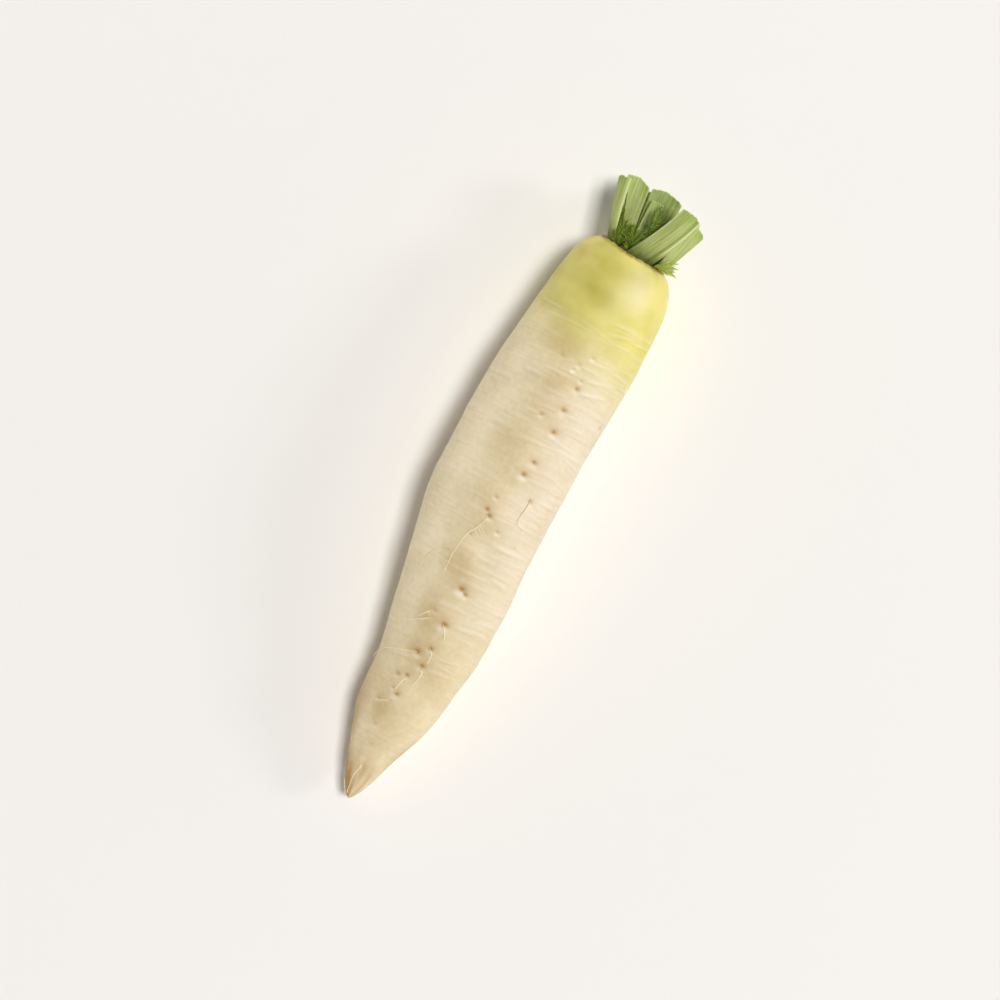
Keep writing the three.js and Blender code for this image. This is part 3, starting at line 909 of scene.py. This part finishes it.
def rootlet_shell(route, look, root_look, seed):
    """A rootlet that follows its route over the skin's real relief, tapering, with a small waver, and a few
    hair roots that branch off it."""
    random = np.random.default_rng(seed)
    count = 10 * len(route)
    station, degrees, height = smooth_path(route, count).T
    share = np.linspace(0, 1, count)
    waver = np.sin(share * 17 + random.uniform(0, TURN)) + 0.6 * np.sin(share * 31 + random.uniform(0, TURN))
    clock = (degrees + 0.55 * waver * share * (1 - 0.4 * share)) * DEGREE
    radius = look.rootlet_radius * (1 - 0.5 * share)
    shells = [skin_thread(station, clock, 0.5 * height, radius, root_look, 1 - smoothstep(share, 0, 0.3))]
    for _ in range(len(route) - 1):
        start = random.integers(count // 5, count - 3)
        reach = np.linspace(0, 1, 9)
        sway = random.choice([-1, 1]) * random.uniform(2.5, 6)
        hair_clock = clock[start] + (sway * reach + 0.8 * np.sin(5 * reach)) * DEGREE
        hair_station = station[start] - random.uniform(1.5, 4) * reach
        hair_radius = radius[start] * mix(0.5, 0.22, reach)
        shells.append(skin_thread(hair_station, hair_clock, 0 * reach, hair_radius, root_look, 0 * reach))
    return together(shells)


def skin_thread(station, clock, height, radius, root_look, foot):
    """A thread lying on the skin along a line of places on it, sunk in by a fifth of its radius."""
    relief = skin_relief(station, clock, root_look)
    lift = (relief + 0.8 * radius) / MM + height
    path = beside_axis(station, clock, radius_at(station) + lift)
    out = np.stack([0 * clock, np.sin(clock), np.cos(clock)], -1)
    return thread(path, out, radius, 7, foot=foot[:, None])


class DAIKON_OT_rootlets(bpy.types.Operator):
    """Adds the rootlets that lie on the skin"""

    bl_idname = "daikon.rootlets"
    bl_label = "Rootlets"

    def execute(self, context):
        look = context.scene.daikon_leaf
        material = dry_fibre(look)
        for i, route in enumerate(ROOTLETS, 1):
            shell = rootlet_shell(route, look, context.scene.daikon_root, i)
            add_piece(f"dry_rootlet_{i}", shell, material, [f"rootlet_{i}"])
        return {"FINISHED"}


# ---- leaf stalks ----
# base and tip are places seen from the crown's middle, (towards +Y, up), and width is how wide the stalk
# is, both at the crown and at the cut. facing is the clock angle in degrees of its rounded side there, cut
# how far past the crown the knife went, slant how much further for each millimetre towards +Y, and round
# how far the cut draws back at the two margins.
STALKS = [
    dict(
        base=(-3.8, 12.5), tip=(-20.3, 19), facing=(-12, -28), width=(17.5, 14.5),
        cut=34, slant=0.3, round=1.6,
    ),
    dict(
        base=(-17.2, 0.3), tip=(-27.5, 1.5), facing=(-75, -42), width=(11.5, 11),
        cut=30.5, slant=0.6, round=0.8,
    ),
    dict(
        base=(-12.5, -12), tip=(-15.5, -21), facing=(-137, -150), width=(11.5, 11),
        cut=36, slant=0.3, round=0.5,
    ),
    dict(
        base=(0, -17.3), tip=(5.5, -26), facing=(180, 178), width=(12, 13),
        cut=40, slant=0.1, round=0.8,
    ),
    dict(
        base=(9.5, -10), tip=(17, -6), facing=(140, 172), width=(11.5, 15),
        cut=42, slant=0.1, round=2.6,
    ),
    dict(base=(14.8, 2), tip=(25, 1), facing=(88, 60), width=(10.5, 11), cut=38, slant=-0.15, round=0.6),
    dict(
        base=(-3, -8), tip=(-2.2, -14.5), facing=(180, 181), width=(12.5, 20),
        cut=43, slant=0.05, round=3,
    ),
    dict(base=(1, -3), tip=(1.4, -7), facing=(178, 178), width=(7, 7.5), cut=34.5, slant=0, round=0.6),
]
# The fold along each stalk's back, (how deep, where across it from -1 to 1), and how much painted shade
# darkens its green.
FOLDS = [(1.6, -0.42), (0.4, 0.3), (0.3, 0.3), (0.2, 0.3), (0.5, 0.4), (0.5, 0.3), (0.9, -0.3), (0.3, 0.2)]
SHADES = [0.0, 0.0, 0.3, 0.3, 0.1, 0.0, 0.6, 0.5]
STALK_THICKNESS = (2.2, 0.32)
SPREAD_EARLY = 0.35
CHANNEL = 0.42
GAP = 0.3
STALK_ROWS = 60
CAP_ROWS = 7
STALK_COLUMNS = 84
RIBS = 7


def crown_face(to_y, up):
    """How far past the crown's middle its tilted face lies at a place on it."""
    return CROWN_SLANT * to_y - CROWN_LEAN * up


def stalk_place(stalk, x, y, share, edge):
    """Where a point of a stalk's section goes, in metres. x and y are its place in a section one wide and
    one thick, share is how far along, and edge how far the cut is torn past its plane."""
    spread = share * (1 + SPREAD_EARLY * (1 - share))
    turn = mix(*stalk["facing"], share) * DEGREE
    wide = mix(*stalk["width"], np.sqrt(share))
    across = x * wide
    out = y * (STALK_THICKNESS[0] + STALK_THICKNESS[1] * wide)
    (base_y, base_up), (tip_y, tip_up) = stalk["base"], stalk["tip"]
    to_y = mix(base_y, tip_y, spread) + across * np.cos(turn) + out * np.sin(turn)
    up = mix(base_up, tip_up, spread) - across * np.sin(turn) + out * np.cos(turn)
    start = crown_face(to_y, up)
    end = stalk["cut"] + stalk["slant"] * (to_y - tip_y) - stalk["round"] * (2 * x) ** 2 + edge
    x_out = CROWN_X + GAP + mix(start, end - GAP, share)
    return np.stack(np.broadcast_arrays(x_out, CROWN_Y + to_y, CROWN_Z + up), -1) * MM


def stalk_section(turn, share, fold, look, seed):
    """The section's outline, one wide and one thick: an ellipse with a shallow channel on its inner side,
    margins that curl inwards, low ribs on its back and one fold if it has a groove."""
    random = np.random.default_rng(seed)
    across, out = np.cos(turn), np.sin(turn)
    back = smoothstep(out, 0.0, 0.35)
    ribs = np.cos(RIBS * math.pi * across + random.uniform(0, TURN) + 0.5 * share)
    fine = np.sin(31 * across + random.uniform(0, TURN))
    thick = 5.5 * MM
    rib = look.rib_height / thick * (ribs + 0.3 * fine) * (0.3 + 0.7 * back)
    groove = fold[0] * 0.16 * back * hump(across - fold[1], 0.13)
    curl = 0.16 * across**4
    channel = np.where(out < 0, CHANNEL * out * out, 0)
    return across / 2, out / 2 + channel + rib * (1 - np.abs(across) ** 6) - groove - curl


def stalk_shell(stalk, fold, shade, look, seed):
    """A stalk's skin as a grid of length by turn round its section, closed by the cut face, whose rows
    shrink to its middle, and by its foot. The cut's edge is a little torn."""
    random = np.random.default_rng(seed)
    turn = TURN * np.arange(STALK_COLUMNS)[None, :] / STALK_COLUMNS
    share = np.linspace(0, 1, STALK_ROWS)[:, None] ** 0.9
    x, y = stalk_section(turn, share, fold, look, seed)
    phases = random.uniform(0, TURN, 3)
    torn = 0.2 * np.sin(5 * turn + phases[0]) + 0.16 * np.sin(13 * turn + phases[1])
    torn = torn + 0.16 * np.sin(29 * turn + phases[2])
    sides = stalk_place(stalk, x, y, share, torn * smoothstep(share, 0.9, 1))
    inward = np.linspace(0.97, 0.1, CAP_ROWS)[:, None]
    middle_y = 0.12
    cap_x = x[-1:] * inward
    cap_y = mix(middle_y, y[-1:], inward)
    cap = stalk_place(stalk, cap_x, cap_y, np.ones_like(inward), torn * inward**3 - 0.5 * (1 - inward**2))
    rings = np.concatenate([sides, cap])
    cut = np.concatenate([np.zeros((STALK_ROWS - 1, 1)), np.ones((CAP_ROWS + 1, 1))])
    reach = np.append(share, np.ones((CAP_ROWS, 1)), 0)
    # Painted shade: foot is a deeper green at the stalk's foot and in the channel on its inner side.
    channel = 0.45 * smoothstep(-np.sin(turn), 0.5, 1.0) * (1 - smoothstep(reach, 0.5, 1.0))
    foot = np.maximum((1 - smoothstep(reach, 0.0, 0.42)) * np.ones_like(turn), channel)
    # Pale margins along both edges of the section, partly the stalk's own paler margins and partly painted
    # highlight.
    margin_and_highlight = 0.8 * smoothstep(np.abs(np.cos(turn)), 0.9, 0.99) * smoothstep(reach, 0.1, 0.5)
    back = smoothstep(np.sin(turn), 0, 0.35)
    # Painted highlight: a pale crest beside the fold, on the other side of its painted shade.
    crest_place = fold[1] + math.copysign(0.25, fold[1])
    crest = hump(np.cos(turn) - crest_place, 0.1) * back
    valley = hump(np.cos(turn) - fold[1], 0.09) * back * min(fold[0], 1.0)
    # Painted shade: the valley of the fold, and each stalk's shade over the whole stalk.
    foot = np.clip(np.maximum(foot, 0.8 * valley * (1 - 0.5 * reach)) + shade, 0, 1)
    margin_and_highlight = np.maximum(margin_and_highlight, min(fold[0], 1.0) * crest * smoothstep(reach, 0.1, 0.4)) * (1 - cut)
    fresh = smoothstep(reach, 0.55, 1.1) * np.ones_like(turn)
    along = np.concatenate([share[:, 0], np.linspace(1.01, 1.1, CAP_ROWS)])
    return tube(rings, sides[0].mean(0), cap[-1].mean(0), along, cut=cut, foot=foot, rim=margin_and_highlight, fresh=fresh)


class DAIKON_OT_stalks(bpy.types.Operator):
    """Adds the leaf stalks, cut short"""

    bl_idname = "daikon.stalks"
    bl_label = "Leaf stalks"

    def execute(self, context):
        look = context.scene.daikon_leaf
        material = stalk_skin(look)
        for i, (stalk, fold, shade) in enumerate(zip(STALKS, FOLDS, SHADES), 1):
            shell = stalk_shell(stalk, fold, shade, look, STALK_SEED + i)
            add_piece(f"cut_stalk_{i}", shell, material, [f"leaf_stalk_{i}"])
        return {"FINISHED"}


# ---- young leaves ----
# Each leaf runs from its base to its tip, both (past the crown, towards +Y, up) from the crown's middle.
# rise bends its middle outwards, and facing is the clock angle of its back.
HEART_LEAVES = [
    dict(
        base=(0.8, 9.5, 3), tip=(16, 12.5, 2), rise=2.5, facing=10,
        pairs=9, reach=4.6, angle=58, fan=4.5,
    ),
    dict(
        base=(0.8, 3.6, 5), tip=(16.5, 5.6, 6), rise=2.5, facing=5,
        pairs=9, reach=4.4, angle=58, fan=4.0,
    ),
    dict(
        base=(0.8, -4.6, 2), tip=(33, -1.5, 0.5), rise=5, facing=-10,
        pairs=16, reach=3.8, angle=52, fan=3.0,
    ),
    dict(
        base=(0.8, 11, 10), tip=(9, 15, 9.5), rise=1.5, facing=40,
        pairs=6, reach=3.4, angle=50, fan=3.0,
    ),
    dict(
        base=(0.8, 9.8, -3), tip=(36, 24, 2.5), rise=1, facing=30,
        pairs=20, reach=2.6, angle=35, fan=1.8,
    ),
]
SIDE_SHOOTS = [
    dict(
        base=(2.4, -15.4, 9.4), tip=(3.6, -25.4, 9), rise=1.6, facing=-20,
        pairs=4, reach=5.5, angle=24, fan=3.2,
    ),
    dict(
        base=(1.8, -14, 13.6), tip=(1.2, -22, 14.4), rise=1.5, facing=-20,
        pairs=4, reach=4.6, angle=26, fan=2.6,
    ),
]
FRONDS = 3
SPIKE_ROWS = 9
SPIKE_COLUMNS = 8
SPIKE_LAST_RING = 0.95  # share of a leaflet's length where its last ring stands, short of its point


def unit(vectors):
    """Each vector at length one."""
    return vectors / np.linalg.norm(vectors, axis=-1, keepdims=True)


def spike_shell(start, along, up, reach, width, thick, bend):
    """A narrow pointed leaflet: a lens-shaped section carried along a parabola that leaves its start in one
    direction and bends up by a share of its length. Its half width is that of a willow leaf, the square root
    of the share of its length times what remains. The last ring stands short of the point that closes it."""
    share = np.linspace(0, SPIKE_LAST_RING, SPIKE_ROWS)[:, None]
    path = start + reach * share * along + bend * reach * share**2 * up
    point = start + reach * along + bend * reach * up
    side = unit(np.cross(up, along))
    half = width * (0.12 + share) ** 0.5 * (1 - share) ** 0.8
    turn = TURN * np.arange(SPIKE_COLUMNS)[None, :] / SPIKE_COLUMNS
    across = half * np.cos(turn)
    out = thick / 2 * np.sin(turn) * (1 - 0.8 * share) + 0.4 * np.abs(across)
    rings = path[:, None] + across[..., None] * side + out[..., None] * up
    return tube(rings * MM, path[0] * MM, point * MM, share[:, 0], point=share)


def leaf_shell(leaf, look, seed):
    """A young leaf still half closed: a few fronds side by side. Each is a bent midrib with narrow leaflets
    in two rows, which leave it at an angle that closes towards the tip, and whose lengths follow a half
    sine along it."""
    random = np.random.default_rng(seed)
    crown = np.array([CROWN_X, CROWN_Y, CROWN_Z])
    facing = leaf["facing"] * DEGREE
    out = np.array([0, math.sin(facing), math.cos(facing)])
    start = crown + leaf["base"] + np.array([crown_face(*leaf["base"][1:]), 0, 0])
    tip = crown + leaf["tip"]
    sideways = unit(np.cross(out, tip - start))
    shells = []
    for frond in range(FRONDS):
        fan = frond - (FRONDS - 1) / 2
        end = tip + leaf["fan"] * fan * sideways - abs(fan) * 0.12 * (tip - start)
        shells += frond_shells(start, end, out, leaf, look, random)
    return together(shells)


def frond_shells(start, end, out, leaf, look, random):
    """One frond's midrib and leaflets."""
    middle = (start + end) / 2 + leaf["rise"] * out
    rows = 3 * leaf["pairs"] + 4
    share = np.linspace(0, 1, rows)[:, None]
    path = (1 - share) ** 2 * start + 2 * share * (1 - share) * middle + share**2 * end
    tangent = unit(np.gradient(path, axis=0))
    side = unit(np.cross(out, tangent))
    thick = look.blade_thickness / MM
    midrib = thread(path * MM, out, (0.55 * (1 - 0.6 * share[:, 0])) * MM, 7, point=0.3 * share)
    shells = [midrib]
    for i in range(2 * leaf["pairs"]):
        row = int(1 + (rows - 4) * (i + 0.5) / (2 * leaf["pairs"]))
        place = share[row, 0]
        angle = leaf["angle"] * DEGREE * (1 - 0.45 * place) * random.uniform(0.75, 1.2)
        along = math.cos(angle) * tangent[row] + (-1) ** i * math.sin(angle) * side[row]
        along = unit(along + random.uniform(-0.1, 0.35) * out)
        up = unit(out - along * (out @ along))
        swell = 0.45 + 0.55 * math.sin(math.pi * (0.25 + 0.6 * place))
        reach = leaf["reach"] * swell * random.uniform(0.7, 1.2)
        width = reach * random.uniform(0.13, 0.2)
        shells.append(spike_shell(path[row], along, up, reach, width, thick, random.uniform(-0.15, 0.3)))
    return shells


class DAIKON_OT_leaves(bpy.types.Operator):
    """Adds the young leaves in the heart and the side shoots"""

    bl_idname = "daikon.leaves"
    bl_label = "Young leaves"

    def execute(self, context):
        look = context.scene.daikon_leaf
        heart = leaf_blade("young_heart_leaf", look.leaf, look.leaf_tip)
        shoot = leaf_blade("side_shoot_leaf", look.shoot, look.shoot_tip)
        for i, leaf in enumerate(HEART_LEAVES, 1):
            shell = leaf_shell(leaf, look, HEART_SEED + i)
            add_piece(f"young_leaf_{i}", shell, heart, [f"heart_leaf_{i}"])
        for i, leaf in enumerate(SIDE_SHOOTS, 1):
            shell = leaf_shell(leaf, look, SHOOT_SEED + i)
            add_piece(f"shoot_leaf_{i}", shell, shoot, [f"side_shoot_{i}"])
        return {"FINISHED"}


# ---- dry scales ----
SCALES = 60


def scales_shell():
    """Dry scales, the torn bases of leaves that were trimmed off: short pointed leaflets in a ring round the
    crown's edge, leaning outwards."""
    random = np.random.default_rng(SCALE_SEED)
    shells = []
    for clock in TURN * (np.arange(SCALES) + random.uniform(-0.4, 0.4, SCALES)) / SCALES:
        radial = np.array([0, math.sin(clock), math.cos(clock)])
        ring = CROWN_RADIUS + random.uniform(-4.4, -1.6)
        foot = np.array([CROWN_X, CROWN_Y, CROWN_Z]) + ring * radial
        foot[0] += crown_face(ring * radial[1], ring * radial[2]) - 0.5
        along = unit(np.array([1.0, 0, 0]) + random.uniform(-0.1, 0.5) * radial + random.normal(0, 0.25, 3))
        up = unit(radial - along * (radial @ along))
        reach = random.uniform(0.8, 2.1)
        shells.append(spike_shell(foot, along, up, reach, reach * random.uniform(0.2, 0.45), 0.4, 0.2))
    return together(shells)


class DAIKON_OT_scales(bpy.types.Operator):
    """Adds the dry scales round the crown"""

    bl_idname = "daikon.scales"
    bl_label = "Dry scales"

    def execute(self, context):
        look = context.scene.daikon_leaf
        material = leaf_blade("dry_leaf_base", look.scale, look.scale_tip)
        add_piece("dry_scales", scales_shell(), material, [])
        return {"FINISHED"}


# ---- stage ----
CAMERA_ROLL = 62.03  # degrees between the root's length and the view's width
AXIS_HEIGHT = 39.0  # the height that the camera's field is measured at
LOOK_STATION = 197.3  # the camera looks at this distance from the tip
LOOK_SIDEWAYS = 3.2
FLOOR_HALF = 6.0  # metres
LIGHT_DISTANCE = 12.0  # metres
KEY_SIZE, KEY_LEAN = 2.9, 14.0  # metres, and degrees from overhead
SIDE_SIZE, SIDE_LEAN = 2.3, 62.0
LIGHT_TURN = -62.0  # degrees: both lights stand on this side of the root, seen from above
WALL_TOP = 0.36  # rise of the direction in which the pale walls end


class DAIKON_OT_stage(bpy.types.Operator):
    """Adds the table, the studio light and the camera looking straight down"""

    bl_idname = "daikon.stage"
    bl_label = "Stage"

    def execute(self, context):
        look = context.scene.daikon_stage
        scene = context.scene
        scene.view_settings.view_transform = "Standard"
        add_floor(look)
        add_area_light("key_light", look.key, KEY_SIZE, KEY_LEAN)
        add_area_light("side_light", look.side, SIDE_SIZE, SIDE_LEAN)
        scene.world = pale_walls(look)
        camera = bpy.data.cameras.new("camera")
        camera.lens = look.lens
        eye = bpy.data.objects.new("camera", camera)
        distance = look.field * look.lens / camera.sensor_width
        x = (TIP_X + LOOK_STATION) * MM
        y = (CHORD_Y + LOOK_SIDEWAYS) * MM
        eye.location = (x, y, AXIS_HEIGHT * MM + distance)
        eye.rotation_euler = (0, 0, -CAMERA_ROLL * DEGREE)
        scene.collection.objects.link(eye)
        scene.camera = eye
        return {"FINISHED"}


def add_floor(look):
    """A flat square table top that the root lies on."""
    mesh = bpy.data.meshes.new("table_top")
    corners = [(-1, -1), (1, -1), (1, 1), (-1, 1)]
    mesh.from_pydata([(FLOOR_HALF * x, FLOOR_HALF * y, 0) for x, y in corners], [], [(0, 1, 2, 3)])
    mesh.materials.append(matt_board(look))
    floor = bpy.data.objects.new("table_top", mesh)
    bpy.context.scene.collection.objects.link(floor)


def pale_walls(look):
    """A studio whose low walls are brighter than its ceiling: light fades from the horizon up to where its
    direction rises by a third."""
    world = bpy.data.worlds.new("pale_walls")
    world.use_nodes = True
    tree = world.node_tree
    tree.nodes.clear()
    toward = add_node(tree, "ShaderNodeTexCoord").outputs["Generated"]
    rise = add_node(tree, "ShaderNodeSeparateXYZ", {0: toward}).outputs["Z"]
    strength = ranged(tree, rise, low=0.0, high=WALL_TOP, to_low=look.horizon, to_high=look.fill)
    sky = add_node(tree, "ShaderNodeBackground", {"Color": linear("#F7FAFF"), "Strength": strength})
    add_node(tree, "ShaderNodeOutputWorld", {"Surface": sky.outputs[0]})
    return world


def add_area_light(name, power, size, lean):
    """A square soft light of a size in metres, leaning by degrees from overhead and facing the root. The
    camera doesn't see it."""
    light = bpy.data.lights.new(name, "AREA")
    light.energy = power
    light.size = size
    lamp = bpy.data.objects.new(name, light)
    away = LIGHT_DISTANCE * math.sin(lean * DEGREE)
    turn = LIGHT_TURN * DEGREE
    lamp.location = (away * math.cos(turn), away * math.sin(turn), LIGHT_DISTANCE * math.cos(lean * DEGREE))
    lamp.rotation_mode = "QUATERNION"
    lamp.rotation_quaternion = lamp.location.to_track_quat("Z", "Y")
    lamp.visible_camera = False
    bpy.context.scene.collection.objects.link(lamp)


class DAIKON_PT_panel(bpy.types.Panel):
    """Buttons and settings for the daikon and its stage"""

    bl_label = "Daikon"
    bl_idname = "DAIKON_PT_panel"
    bl_space_type = "VIEW_3D"
    bl_region_type = "UI"
    bl_category = "Daikon"

    def draw(self, context):
        for operator in OPERATORS:
            self.layout.operator(operator.bl_idname)
        for name in SETTINGS:
            box = self.layout.box()
            settings = getattr(context.scene, name)
            for field in settings.__annotations__:
                box.prop(settings, field)


SETTINGS = {
    "daikon_root": DaikonRootSettings,
    "daikon_leaf": DaikonLeafSettings,
    "daikon_stage": DaikonStageSettings,
}
OPERATORS = (
    DAIKON_OT_root,
    DAIKON_OT_rootlets,
    DAIKON_OT_stalks,
    DAIKON_OT_leaves,
    DAIKON_OT_scales,
    DAIKON_OT_stage,
)


def register():
    """Registers the settings, the operators and the panel."""
    for cls in (*SETTINGS.values(), *OPERATORS, DAIKON_PT_panel):
        bpy.utils.register_class(cls)
    for name, cls in SETTINGS.items():
        setattr(bpy.types.Scene, name, bpy.props.PointerProperty(type=cls))


def unregister():
    """Takes back what register did."""
    for name in SETTINGS:
        delattr(bpy.types.Scene, name)
    for cls in reversed((*SETTINGS.values(), *OPERATORS, DAIKON_PT_panel)):
        bpy.utils.unregister_class(cls)


def main():
    """Builds the daikon and its stage."""
    register()
    bpy.ops.daikon.root()
    bpy.ops.daikon.rootlets()
    bpy.ops.daikon.stalks()
    bpy.ops.daikon.leaves()
    bpy.ops.daikon.scales()
    bpy.ops.daikon.stage()


if __name__ == "__main__":
    main()
